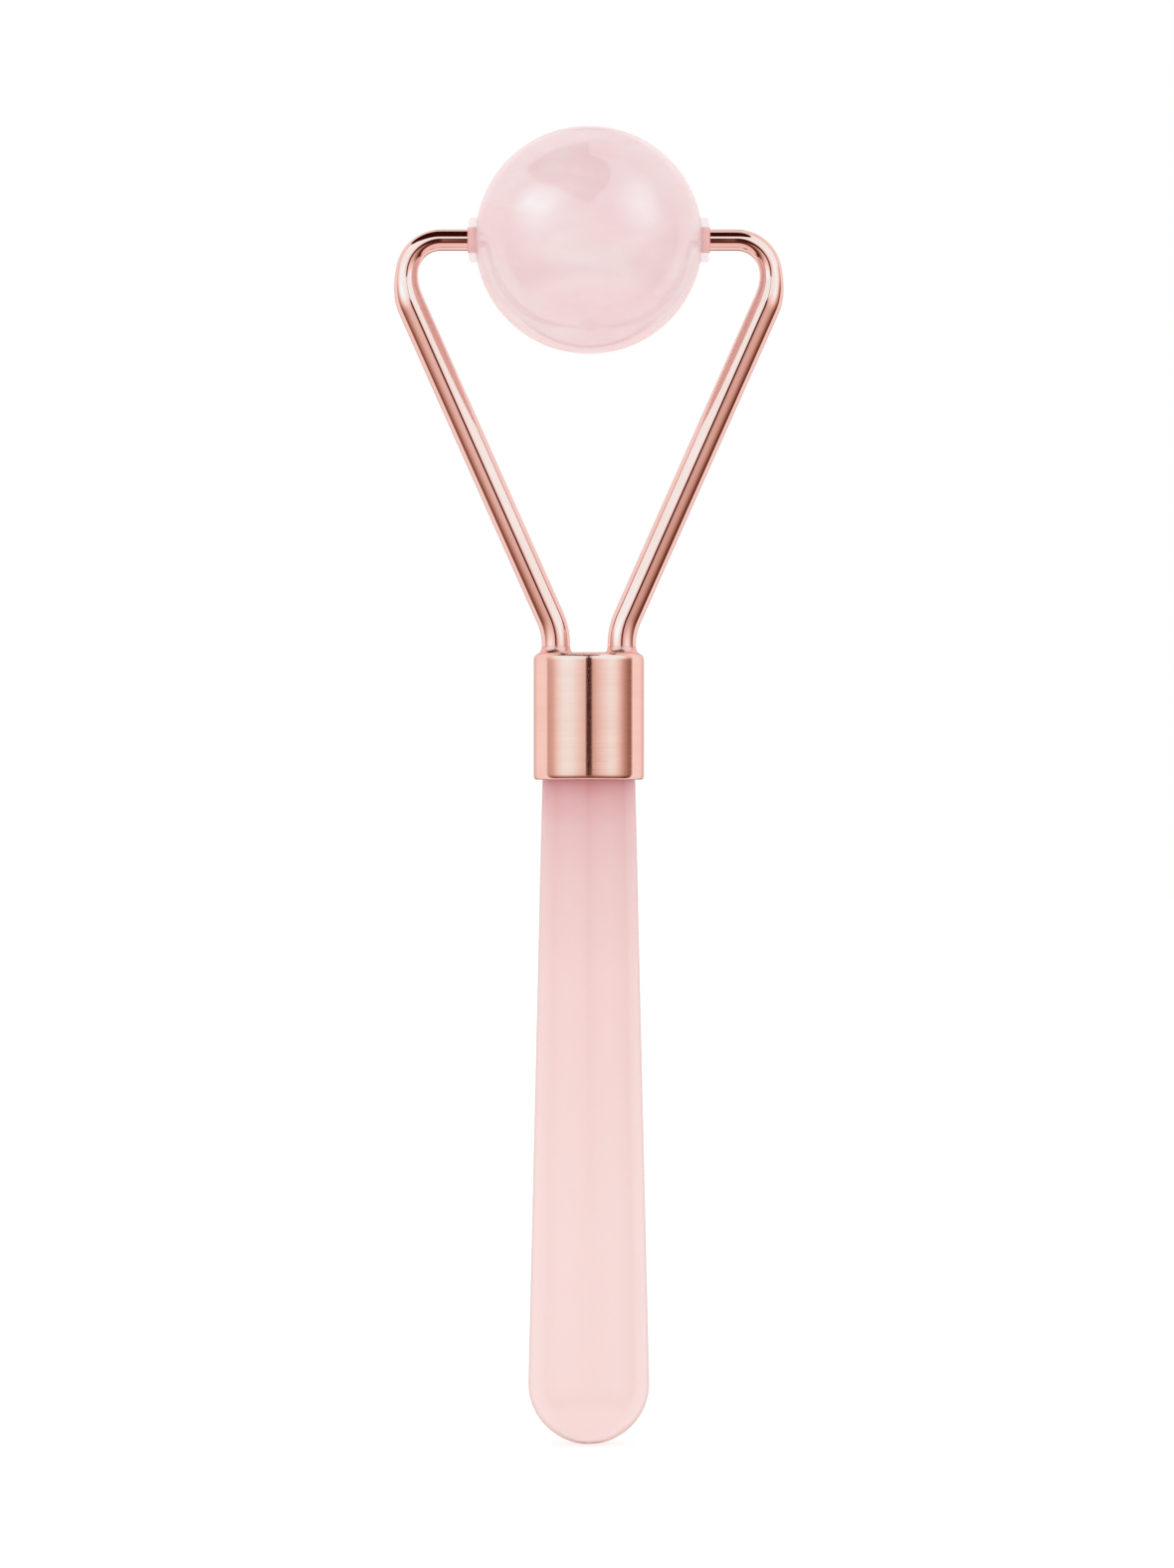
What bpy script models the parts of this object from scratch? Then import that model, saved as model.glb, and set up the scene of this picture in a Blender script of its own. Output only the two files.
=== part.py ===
"""Ball face roller: a stone ball that spins on two stubs of a bent-rod yoke, on a tapered handle.

Metres, +Z up the handle. The handle's round tip is at the origin, the handle's axis is Z and the
ball's axle is parallel to X.
"""

import math

import bmesh
import bpy

MM = 0.001

# Ball and axle
BALL_RADIUS = 12.5 * MM
AXLE_HEIGHT = 132.4 * MM

# Handle: a straight taper that ends in half a sphere
HANDLE_END_RADIUS = 6.64 * MM
HANDLE_NECK_RADIUS = 5.10 * MM
HANDLE_TOP = 78.8 * MM
HANDLE_TOP_BEVEL = 0.4 * MM

# Ferrule: solid head over an open socket
FERRULE_RADIUS = 6.06 * MM
FERRULE_BOTTOM = 73.05 * MM
FERRULE_TOP = 86.93 * MM
FERRULE_SHOULDER = 0.7 * MM
FERRULE_LIP = 0.3 * MM
SOCKET_DEPTH = 6.05 * MM

# Stud that joins the handle to the ferrule
STUD_RADIUS = 1.5 * MM
STUD_BOTTOM = 74.0 * MM
STUD_TOP = 81.2 * MM
STUD_BEVEL = 0.3 * MM

# Yoke arms: bent round rod, thin at the axle stub
ARM_LEAN = math.radians(24)
ARM_REACH = 20.09 * MM
STUB_RADIUS = 1.15 * MM
STUB_TIP = 8.0 * MM
BEND_END_RADIUS = 1.22 * MM
ARM_RADIUS = 1.59 * MM
LEG_RADIUS = 1.55 * MM
LEG_OFFSET = 3.62 * MM
LEG_FOOT = 82.6 * MM
TIGHT_BEND = 3.75 * MM
TIGHT_TURN = math.radians(80)
EASY_BEND = 7.4 * MM
LEG_BEND = 7.0 * MM

# Braze fillet where an arm enters the ferrule
FILLET_WIDTH = 0.35 * MM
FILLET_LAND = 0.1 * MM

# Flanged bush in each pole of the ball
BUSH_FLANGE_RADIUS = 2.46 * MM
BUSH_FLANGE_FACE = 13.33 * MM
BUSH_FLANGE_BACK = 12.45 * MM
BUSH_RIM = 0.4 * MM
BUSH_SLEEVE_RADIUS = 1.75 * MM
BUSH_SLEEVE_END = 7.0 * MM
BUSH_BORE_RADIUS = 1.21 * MM
BUSH_BORE_END = 7.6 * MM

# Space left between pieces that touch on the real object
GAP = 0.3 * MM

# Fineness of the faceted surfaces
TURNED_STEPS = 48
SMALL_STEPS = 32
BALL_ARC_STEPS = 24
HANDLE_ARC_STEPS = 14
EDGE_ARC_STEPS = 4
TIGHT_BEND_STEPS = 9
EASY_BEND_STEPS = 6
LEG_BEND_STEPS = 4
ROD_RESOLUTION = 6
SHARP_ANGLE = math.radians(35)
MERGE_DISTANCE = 0.00001

STONE = (0.83, 0.62, 0.63)
HANDLE_PINK = (0.90, 0.62, 0.60)
ROSE_GOLD = (0.86, 0.52, 0.40)
BUSH_CLEAR = (0.86, 0.76, 0.74)
STEEL = (0.55, 0.55, 0.56)


def clear_scene():
    """Remove every object that the file opened with."""
    for item in list(bpy.data.objects):
        bpy.data.objects.remove(item, do_unlink=True)


def new_collection(name):
    """A fresh collection, linked under the scene."""
    collection = bpy.data.collections.new(name)
    bpy.context.scene.collection.children.link(collection)
    return collection


def new_material(name, colour, roughness, metallic=0.0, transmission=0.0):
    """A Principled BSDF material of one colour."""
    material = bpy.data.materials.new(name)
    material.use_nodes = True
    shader = material.node_tree.nodes["Principled BSDF"]
    shader.inputs["Base Color"].default_value = (*colour, 1.0)
    shader.inputs["Roughness"].default_value = roughness
    shader.inputs["Metallic"].default_value = metallic
    shader.inputs["Transmission Weight"].default_value = transmission
    return material


def arc(centre_r, centre_z, radius, start, end, count):
    """Points (r, z) along an arc, from the start angle to the end angle in degrees."""
    points = []
    for step in range(count + 1):
        angle = math.radians(start + (end - start) * step / count)
        points.append((centre_r + radius * math.cos(angle), centre_z + radius * math.sin(angle)))
    return points


def turned(name, profile, steps, material, collection, closed=False):
    """A solid turned about Z from (r, z) points that run down the outer side."""
    mesh = bpy.data.meshes.new(name)
    shape = bmesh.new()
    points = [shape.verts.new((r, 0.0, z)) for r, z in profile]
    for first, second in zip(points, points[1:]):
        shape.edges.new((first, second))
    if closed:
        shape.edges.new((points[-1], points[0]))
    shape.to_mesh(mesh)
    shape.free()
    item = bpy.data.objects.new(name, mesh)
    collection.objects.link(item)
    screw = item.modifiers.new("Turn", "SCREW")
    screw.steps = steps
    screw.render_steps = steps
    screw.use_merge_vertices = True
    screw.merge_threshold = MERGE_DISTANCE
    item.data.materials.append(material)
    return item


def settle(item):
    """Replace an object's modifiers by their result, smooth with sharp edges kept."""
    graph = bpy.context.evaluated_depsgraph_get()
    mesh = bpy.data.meshes.new_from_object(item.evaluated_get(graph))
    mesh.name = item.name
    item.modifiers.clear()
    item.data = mesh
    mesh.shade_smooth()
    mesh.set_sharp_from_angle(angle=SHARP_ANGLE)
    return item


def drill(item, name, radius, bottom, top, x, cutters):
    """Cut a round hole along Z, from bottom to top, at distance x from the axis."""
    shape = bmesh.new()
    bmesh.ops.create_cone(
        shape,
        cap_ends=True,
        segments=SMALL_STEPS,
        radius1=radius,
        radius2=radius,
        depth=top - bottom,
    )
    mesh = bpy.data.meshes.new(name)
    shape.to_mesh(mesh)
    shape.free()
    cutter = bpy.data.objects.new(name, mesh)
    cutter.location = (x, 0.0, (bottom + top) / 2)
    cutter.hide_render = True
    cutter.display_type = "WIRE"
    cutters.objects.link(cutter)
    cut = item.modifiers.new(name, "BOOLEAN")
    cut.operation = "DIFFERENCE"
    cut.solver = "EXACT"
    cut.object = cutter


def handle_radius(height):
    """Radius of the handle's taper at a height, widest where the round end begins."""
    fraction = (height - HANDLE_END_RADIUS) / (FERRULE_BOTTOM - HANDLE_END_RADIUS)
    return HANDLE_END_RADIUS + (HANDLE_NECK_RADIUS - HANDLE_END_RADIUS) * fraction


def make_handle(material, collection):
    """Tapered handle with a half-sphere end and a blind hole for the stud in its top."""
    hole = STUD_RADIUS + GAP
    floor = STUD_BOTTOM - GAP
    taper_top = HANDLE_TOP - HANDLE_TOP_BEVEL
    profile = [
        (0.0, floor),
        (hole, floor),
        (hole, HANDLE_TOP),
        (handle_radius(HANDLE_TOP) - HANDLE_TOP_BEVEL, HANDLE_TOP),
        (handle_radius(taper_top), taper_top),
        (handle_radius(FERRULE_BOTTOM), FERRULE_BOTTOM),
        (handle_radius(FERRULE_BOTTOM / 2), FERRULE_BOTTOM / 2),
    ]
    profile += arc(0.0, HANDLE_END_RADIUS, HANDLE_END_RADIUS, 0, -90, HANDLE_ARC_STEPS)
    return settle(turned("handle", profile, TURNED_STEPS, material, collection))


def make_ferrule(material, collection, cutters):
    """Turned cap: a solid head with two leg holes, and a socket below for the handle."""
    socket_top = FERRULE_BOTTOM + SOCKET_DEPTH
    socket = HANDLE_NECK_RADIUS + GAP
    stud_hole = STUD_RADIUS + GAP
    profile = [(0.0, FERRULE_TOP)]
    shoulder = (FERRULE_RADIUS - FERRULE_SHOULDER, FERRULE_TOP - FERRULE_SHOULDER)
    lip = (FERRULE_RADIUS - FERRULE_LIP, FERRULE_BOTTOM + FERRULE_LIP)
    profile += arc(*shoulder, FERRULE_SHOULDER, 90, 0, EDGE_ARC_STEPS)
    profile += arc(*lip, FERRULE_LIP, 0, -90, EDGE_ARC_STEPS)
    profile += [
        (socket, FERRULE_BOTTOM),
        (socket, socket_top),
        (stud_hole, socket_top),
        (stud_hole, STUD_TOP + GAP),
        (0.0, STUD_TOP + GAP),
    ]
    ferrule = turned("ferrule", profile, TURNED_STEPS, material, collection)
    for side, sign in (("left", -1), ("right", 1)):
        drill(
            ferrule,
            f"leg_hole_{side}",
            LEG_RADIUS + GAP,
            LEG_FOOT - GAP,
            FERRULE_TOP + GAP,
            sign * LEG_OFFSET,
            cutters,
        )
    return settle(ferrule)


def make_stud(material, collection):
    """Stud with bevelled ends, hidden inside the ferrule and the top of the handle."""
    profile = [
        (0.0, STUD_TOP),
        (STUD_RADIUS - STUD_BEVEL, STUD_TOP),
        (STUD_RADIUS, STUD_TOP - STUD_BEVEL),
        (STUD_RADIUS, STUD_BOTTOM + STUD_BEVEL),
        (STUD_RADIUS - STUD_BEVEL, STUD_BOTTOM),
        (0.0, STUD_BOTTOM),
    ]
    return settle(turned("handle_stud", profile, SMALL_STEPS, material, collection))


def bend(centre, radius, start, end, count):
    """Points (x, z) along a bend of the arm's centre line, angles in radians from +Z towards +X."""
    points = []
    for step in range(count + 1):
        angle = start + (end - start) * step / count
        points.append((centre[0] + radius * math.sin(angle), centre[1] + radius * math.cos(angle)))
    return points


def arm_route():
    """The right arm's centre line as (x, z, rod radius), from the stub's tip to the leg's foot."""
    straight = math.radians(90) + ARM_LEAN
    tight_x = ARM_REACH - TIGHT_BEND * math.sin(TIGHT_TURN) - EASY_BEND * (1 - math.sin(TIGHT_TURN))
    tight_centre = (tight_x, AXLE_HEIGHT - TIGHT_BEND)
    tight = bend(tight_centre, TIGHT_BEND, 0.0, TIGHT_TURN, TIGHT_BEND_STEPS)
    shift = TIGHT_BEND - EASY_BEND
    easy_centre = (
        tight_centre[0] + shift * math.sin(TIGHT_TURN),
        tight_centre[1] + shift * math.cos(TIGHT_TURN),
    )
    easy = bend(easy_centre, EASY_BEND, TIGHT_TURN, straight, EASY_BEND_STEPS)

    leg_x = LEG_OFFSET + LEG_BEND
    run = easy[-1][0] - (leg_x - LEG_BEND * math.cos(ARM_LEAN))
    leg_top = easy[-1][1] - run / math.tan(ARM_LEAN) - LEG_BEND * math.sin(ARM_LEAN)
    leg_end = -math.radians(90)
    leg = bend((leg_x, leg_top), LEG_BEND, leg_end + ARM_LEAN, leg_end, LEG_BEND_STEPS)

    route = [(STUB_TIP, AXLE_HEIGHT, STUB_RADIUS)]
    for step, (x, z) in enumerate(tight):
        share = step / TIGHT_BEND_STEPS
        route.append((x, z, STUB_RADIUS + (BEND_END_RADIUS - STUB_RADIUS) * share))
    for step, (x, z) in enumerate(easy[1:], 1):
        share = step / EASY_BEND_STEPS
        growth = share * share * (3 - 2 * share)
        route.append((x, z, BEND_END_RADIUS + (ARM_RADIUS - BEND_END_RADIUS) * growth))
    route += [(x, z, LEG_RADIUS) for x, z in leg]
    route.append((LEG_OFFSET, LEG_FOOT, LEG_RADIUS))
    return route


def make_arm(side, sign, material, collection):
    """One bent rod: stub, bend, leaning arm and the leg that goes into the ferrule."""
    curve = bpy.data.curves.new(f"yoke_arm_{side}", "CURVE")
    curve.dimensions = "3D"
    curve.bevel_depth = ARM_RADIUS
    curve.bevel_resolution = ROD_RESOLUTION
    curve.use_fill_caps = True
    route = arm_route()
    spline = curve.splines.new("POLY")
    spline.points.add(len(route) - 1)
    for point, (x, z, radius) in zip(spline.points, route):
        point.co = (sign * x, 0.0, z, 1.0)
        point.radius = radius / ARM_RADIUS
    spline.use_smooth = True
    curve.materials.append(material)
    arm = bpy.data.objects.new(f"yoke_arm_{side}", curve)
    collection.objects.link(arm)
    return arm


def make_fillet(side, sign, material, collection):
    """Concave ring of braze around a leg, on the ferrule's top face."""
    inner = LEG_RADIUS + GAP
    base = GAP
    centre = inner + FILLET_LAND + FILLET_WIDTH
    flare = arc(centre, base + FILLET_LAND + FILLET_WIDTH, FILLET_WIDTH, 180, 270, EDGE_ARC_STEPS)
    profile = [(inner, flare[0][1]), *flare, (centre, base), (inner, base)]
    fillet = turned(f"braze_fillet_{side}", profile, SMALL_STEPS, material, collection, closed=True)
    fillet.location = (sign * LEG_OFFSET, 0.0, FERRULE_TOP)
    return settle(fillet)


def make_ball(material, collection, axle):
    """Stone ball with a blind bore at each pole, turned about its axle."""
    bore = BUSH_SLEEVE_RADIUS + GAP
    floor = BUSH_SLEEVE_END - GAP
    mouth = math.degrees(math.acos(bore / BALL_RADIUS))
    profile = [(0.0, floor), (bore, floor)]
    profile += arc(0.0, 0.0, BALL_RADIUS, mouth, -mouth, BALL_ARC_STEPS)
    profile += [(bore, -floor), (0.0, -floor)]
    ball = settle(turned("stone_ball", profile, TURNED_STEPS, material, collection))
    ball.parent = axle
    ball.rotation_euler = (0.0, math.radians(90), 0.0)
    return ball


def make_bush(side, sign, material, collection, axle):
    """Flanged cup that a stub runs in, its flange just proud of the ball."""
    profile = [
        (0.0, BUSH_BORE_END),
        (BUSH_BORE_RADIUS, BUSH_BORE_END),
        (BUSH_BORE_RADIUS, BUSH_FLANGE_FACE),
    ]
    rim = (BUSH_FLANGE_RADIUS - BUSH_RIM, BUSH_FLANGE_FACE - BUSH_RIM)
    profile += arc(*rim, BUSH_RIM, 90, 0, EDGE_ARC_STEPS)
    profile += [
        (BUSH_FLANGE_RADIUS, BUSH_FLANGE_BACK),
        (BUSH_SLEEVE_RADIUS, BUSH_FLANGE_BACK),
        (BUSH_SLEEVE_RADIUS, BUSH_SLEEVE_END),
        (0.0, BUSH_SLEEVE_END),
    ]
    bush = settle(turned(f"bush_{side}", profile, SMALL_STEPS, material, collection))
    bush.parent = axle
    bush.rotation_euler = (0.0, sign * math.radians(90), 0.0)
    return bush


def main():
    """Build the whole roller."""
    clear_scene()
    parts = new_collection("ball_face_roller")
    cutters = new_collection("cutters")

    axle = bpy.data.objects.new("ball_axle", None)
    axle.location = (0.0, 0.0, AXLE_HEIGHT)
    parts.objects.link(axle)

    metal = {
        name: new_material(name, ROSE_GOLD, 0.2, metallic=1.0)
        for name in ("ferrule_gold", "arm_gold", "braze_gold")
    }
    bush_plastic = new_material("bush_plastic", BUSH_CLEAR, 0.25, transmission=0.6)
    make_handle(new_material("handle_acrylic", HANDLE_PINK, 0.12, transmission=0.4), parts)
    make_stud(new_material("stud_steel", STEEL, 0.35, metallic=1.0), parts)
    make_ferrule(metal["ferrule_gold"], parts, cutters)
    make_ball(new_material("pink_stone", STONE, 0.15, transmission=0.3), parts, axle)
    for side, sign in (("left", -1), ("right", 1)):
        make_arm(side, sign, metal["arm_gold"], parts)
        make_fillet(side, sign, metal["braze_gold"], parts)
        make_bush(side, sign, bush_plastic, parts, axle)


main()
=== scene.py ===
"""Ball face roller: the finished meshes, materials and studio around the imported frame.

Metres, +Z up the handle, the ball's axle along X. Every size that the frame holds is read from it.
"""

from functools import partial
import math

import bmesh
import bpy
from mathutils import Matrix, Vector


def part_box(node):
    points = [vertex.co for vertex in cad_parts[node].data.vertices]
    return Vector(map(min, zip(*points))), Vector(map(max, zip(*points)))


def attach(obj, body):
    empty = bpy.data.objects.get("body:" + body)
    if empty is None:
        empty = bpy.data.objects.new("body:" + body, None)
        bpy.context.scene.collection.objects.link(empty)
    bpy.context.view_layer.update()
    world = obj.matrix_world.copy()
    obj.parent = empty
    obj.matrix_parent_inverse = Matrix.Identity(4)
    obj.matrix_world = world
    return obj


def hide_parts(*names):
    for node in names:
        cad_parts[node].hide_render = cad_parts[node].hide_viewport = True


MM = 0.001

# Camera: a long lens, level with the roller's middle
LENS_MM = 135.0
SENSOR_MM = 36.0
CAMERA_DISTANCE = 647.0 * MM
CAMERA_HEIGHT = 72.56 * MM
CAMERA_SHIFT_X = -0.20 * MM

# Yoke rod: thin at the axle stub, thicker down the arm
ARM_LEAN = math.radians(24)
STUB_RADIUS = 1.15 * MM
BEND_END_RADIUS = 1.22 * MM
ARM_RADIUS = 1.59 * MM
LEG_RADIUS = 1.55 * MM
ARM_REACH = 20.09 * MM
LEG_OFFSET = 3.62 * MM
TIGHT_BEND = 3.75 * MM
TIGHT_TURN = math.radians(80)
EASY_BEND = 7.4 * MM
LEG_BEND = 7.0 * MM

# Ferrule edges as chains of arcs: (radius, angle in degrees where the arc ends)
SHOULDER_ARCS = ((1.4 * MM, 18), (0.35 * MM, 55), (1.2 * MM, 90))
LIP_ARCS = ((1.3 * MM, 18), (0.22 * MM, 90))
SOCKET_DEPTH = 6.05 * MM
SOCKET_BEVEL = 0.05 * MM

# Foot fillet where an arm flows into the ferrule
FILLET_WIDTH = 0.5 * MM
FILLET_HEIGHT = 0.8 * MM
FILLET_SUNK = 0.25 * MM

# Handle and stud
HANDLE_NECK_RADIUS = 5.10 * MM
HANDLE_TOP_BEVEL = 0.4 * MM
THREAD_PITCH = 0.5 * MM
THREAD_DEPTH = 0.3 * MM

# Bush
BUSH_SLEEVE_RADIUS = 1.75 * MM
BUSH_BORE_RADIUS = 1.21 * MM
BUSH_BORE_END = 7.6 * MM
BUSH_COLLAR_RADIUS = 1.42 * MM
BUSH_RIM = 0.36 * MM
BUSH_RIM_START = 88
BUSH_CROWN = 0.12 * MM
BUSH_GROOVE = 0.04 * MM
BUSH_GROOVE_UP = 0.2 * MM
BUSH_THROAT = 0.1 * MM
BUSH_COLLAR_BEVEL = 0.06 * MM

# The two sides of the yoke, as signs of X
SIDES = (("left", -1), ("right", 1))

# Clearance between finished pieces that touch on the real object
FIT = 0.02 * MM

# Fineness
TURNED_STEPS = 128
SMALL_STEPS = 64
ARC_DEGREES = 4
ROD_SIDES = 48
ROD_SPACING = 0.35 * MM
HANDLE_ROWS = 48
HANDLE_END_ROWS = 40
FERRULE_ROWS = 16
FILLET_ROWS = 14
BALL_ROWS = 96
BUSH_RIM_ROWS = 14
THREAD_ROWS = 8
SHARP_ANGLE = math.radians(32)
MERGE_DISTANCE = 0.000001


# -------------------- mesh helpers


def arc(centre_r, centre_z, radius, start, end, count):
    """Points (r, z) along an arc, from the start angle to the end angle in degrees."""
    points = []
    for step in range(count + 1):
        angle = math.radians(start + (end - start) * step / count)
        points.append((centre_r + radius * math.cos(angle), centre_z + radius * math.sin(angle)))
    return points


def edge_chain(radius, arcs):
    """Points (r, drop) of a rounded edge that runs from a side wall at a radius to a flat end.

    drop is the distance still to go to the flat end. The arcs follow each other tangent to tangent.
    """
    points = [(radius, 0.0)]
    start = 0
    for arc_radius, end in arcs:
        r, rise = points[-1]
        centre = (
            r - arc_radius * math.cos(math.radians(start)),
            rise - arc_radius * math.sin(math.radians(start)),
        )
        count = max(2, round((end - start) / ARC_DEGREES))
        points += arc(*centre, arc_radius, start, end, count)[1:]
        start = end
    total = points[-1][1]
    return [(r, total - rise) for r, rise in points]


def link(name, mesh):
    """A new object for a mesh, in the scene."""
    item = bpy.data.objects.new(name, mesh)
    bpy.context.scene.collection.objects.link(item)
    return item


def smooth(item):
    """Smooth shading with the sharp edges kept."""
    item.data.shade_smooth()
    item.data.set_sharp_from_angle(angle=SHARP_ANGLE)
    return item


def finished(name, shape):
    """A smooth object made from a bmesh, which is freed."""
    mesh = bpy.data.meshes.new(name)
    shape.to_mesh(mesh)
    shape.free()
    return smooth(link(name, mesh))


def bridge(shape, first, second):
    """Four-sided faces between two rings that have the same number of points."""
    count = len(first)
    for step in range(count):
        after = (step + 1) % count
        shape.faces.new((first[step], second[step], second[after], first[after]))


def turned(name, profile, steps=TURNED_STEPS, axis="Z", closed=False):
    """A closed solid turned about Z, or about X, from (r, z) points in order round its section.

    The section ends on the axis, or it is a closed loop off the axis, which makes a ring.
    """
    shape = bmesh.new()
    rings = []
    for r, z in profile:
        count = 1 if r < MERGE_DISTANCE else steps
        ring = []
        for step in range(count):
            angle = 2 * math.pi * step / steps
            x, y = r * math.cos(angle), r * math.sin(angle)
            ring.append(shape.verts.new((x, y, z) if axis == "Z" else (z, x, y)))
        rings.append(ring)
    ends = rings[1:] + rings[:1] if closed else rings[1:]
    for upper, lower in zip(rings, ends):
        for step in range(steps):
            after = (step + 1) % steps
            corners = [
                upper[step % len(upper)],
                lower[step % len(lower)],
                lower[after % len(lower)],
                upper[after % len(upper)],
            ]
            corners = list(dict.fromkeys(corners))
            if len(corners) > 2:
                shape.faces.new(corners)
    bmesh.ops.recalc_face_normals(shape, faces=shape.faces)
    return finished(name, shape)


def place(item, x=0.0, z=0.0):
    """Move a mesh's own points, so that its object stays at the frame's origin."""
    for vertex in item.data.vertices:
        vertex.co.x += x
        vertex.co.z += z
    return item


def mirror_x(item):
    """Mirror a mesh's own points to the other side of X, faces still outward."""
    for vertex in item.data.vertices:
        vertex.co.x = -vertex.co.x
    item.data.flip_normals()


def cut(item, cutter):
    """Cut one closed mesh out of another."""
    change = item.modifiers.new("cut", "BOOLEAN")
    change.operation = "DIFFERENCE"
    change.solver = "EXACT"
    change.object = cutter
    graph = bpy.context.evaluated_depsgraph_get()
    mesh = bpy.data.meshes.new_from_object(item.evaluated_get(graph))
    item.modifiers.clear()
    item.data = mesh
    bpy.data.objects.remove(cutter)
    smooth(item)


def finish_piece(item, body, node, material):
    """Give a piece its material and its body, and hide the CAD node that it stands for."""
    item.data.materials.clear()
    item.data.materials.append(material)
    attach(item, body)
    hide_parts(node)


# -------------------- sizes from the frame


def measure_frame():
    """The roller's driving sizes, read from the CAD nodes' boxes."""
    ball_low, ball_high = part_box("stone_ball")
    ferrule_low, ferrule_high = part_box("ferrule")
    bush_low, bush_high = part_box("bush_right")
    stud_low, stud_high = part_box("handle_stud")
    handle_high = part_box("handle")[1]
    arm_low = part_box("yoke_arm_right")[0]
    return {
        "axle": (ball_low.z + ball_high.z) / 2,
        "ball": (ball_high.z - ball_low.z) / 2,
        "ferrule": ferrule_high.x,
        "ferrule_top": ferrule_high.z,
        "ferrule_bottom": ferrule_low.z,
        "handle": handle_high.x,
        "handle_top": handle_high.z,
        "flange": (bush_high.z - bush_low.z) / 2,
        "bush_face": bush_high.x,
        "sleeve_end": bush_low.x,
        "stub_tip": arm_low.x,
        "leg_foot": arm_low.z,
        "stud": stud_high.x,
        "stud_top": stud_high.z,
        "stud_bottom": stud_low.z,
    }


# -------------------- pieces


def make_handle(size):
    """Tapered handle with a half-sphere end and a blind hole for the stud in its top."""
    end, top, bottom = size["handle"], size["handle_top"], size["ferrule_bottom"]

    def taper(height):
        return end + (HANDLE_NECK_RADIUS - end) * (height - end) / (bottom - end)

    hole = size["stud"] + FIT
    profile = [
        (0.0, size["stud_bottom"] - FIT),
        (hole, size["stud_bottom"] - FIT),
        (hole, top),
        (taper(top) - HANDLE_TOP_BEVEL, top),
        (taper(top - HANDLE_TOP_BEVEL), top - HANDLE_TOP_BEVEL),
    ]
    for row in range(1, HANDLE_ROWS):
        height = top - HANDLE_TOP_BEVEL - (top - HANDLE_TOP_BEVEL - end) * row / HANDLE_ROWS
        profile.append((taper(height), height))
    profile += arc(0.0, end, end, 0, -90, HANDLE_END_ROWS)
    return turned("handle_body", profile)


def shoulder_profile(size):
    """Points (r, z) of the ferrule's top edge, from the flat top out to the side wall."""
    chain = edge_chain(size["ferrule"], SHOULDER_ARCS)
    return [(r, size["ferrule_top"] - drop) for r, drop in reversed(chain)]


def make_ferrule(size):
    """Turned cap: a solid head with two leg holes, and a socket below for the handle."""
    top, bottom = size["ferrule_top"], size["ferrule_bottom"]
    shoulder = shoulder_profile(size)
    lip = [(r, bottom + drop) for r, drop in edge_chain(size["ferrule"], LIP_ARCS)]
    side_top, side_bottom = shoulder[-1][1], lip[0][1]
    side = [
        (size["ferrule"], side_top + (side_bottom - side_top) * row / FERRULE_ROWS)
        for row in range(1, FERRULE_ROWS)
    ]
    socket = HANDLE_NECK_RADIUS + FIT
    socket_top = bottom + SOCKET_DEPTH
    hole = size["stud"] + FIT
    profile = [(0.0, top), *shoulder, *side, *lip]
    profile += [
        (socket + SOCKET_BEVEL, bottom),
        (socket, bottom + SOCKET_BEVEL),
        (socket, socket_top),
        (hole, socket_top),
        (hole, size["stud_top"] + FIT),
        (0.0, size["stud_top"] + FIT),
    ]
    ferrule = turned("ferrule_cap", profile)
    wall, floor = LEG_RADIUS + FIT, size["leg_foot"] - FIT
    leg_hole = [(0.0, top + MM), (wall, top + MM), (wall, floor), (0.0, floor)]
    for _, sign in SIDES:
        cutter = turned("leg_hole", leg_hole, SMALL_STEPS)
        place(cutter, x=sign * LEG_OFFSET)
        cut(ferrule, cutter)
    return ferrule


def make_stud(size):
    """Threaded stud between the handle and the ferrule, turned with a helical thread."""
    radius, top, bottom = size["stud"], size["stud_top"], size["stud_bottom"]
    rows = round((top - bottom) / THREAD_PITCH) * THREAD_ROWS
    shape = bmesh.new()
    rings = []
    for row in range(rows + 1):
        z = bottom + (top - bottom) * row / rows
        end_taper = min(1.0, min(z - bottom, top - z) / THREAD_DEPTH)
        ring = []
        for step in range(SMALL_STEPS):
            turn = step / SMALL_STEPS
            phase = ((z - bottom) / THREAD_PITCH - turn) % 1.0
            crest = 1.0 - abs(2.0 * phase - 1.0)
            r = radius - THREAD_DEPTH * (1.0 - crest * end_taper)
            angle = 2 * math.pi * turn
            ring.append(shape.verts.new((r * math.cos(angle), r * math.sin(angle), z)))
        rings.append(ring)
    for lower, upper in zip(rings, rings[1:]):
        for step in range(SMALL_STEPS):
            after = (step + 1) % SMALL_STEPS
            shape.faces.new((lower[step], lower[after], upper[after], upper[step]))
    shape.faces.new(rings[-1])
    shape.faces.new(list(reversed(rings[0])))
    return finished("stud_threaded", shape)


def spread(start, end):
    """Evenly spaced shares from 0 to 1 over the length between two points, without the first."""
    count = max(2, math.ceil(math.dist(start, end) / ROD_SPACING))
    return [step / count for step in range(1, count + 1)]


def bend(centre, radius, start, end):
    """Points (x, z) along a bend of the rod's centre line, angles in radians from +Z towards +X."""
    count = max(4, math.ceil(abs(end - start) * radius / ROD_SPACING))
    points = []
    for step in range(count + 1):
        angle = start + (end - start) * step / count
        points.append((centre[0] + radius * math.sin(angle), centre[1] + radius * math.cos(angle)))
    return points


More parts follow.
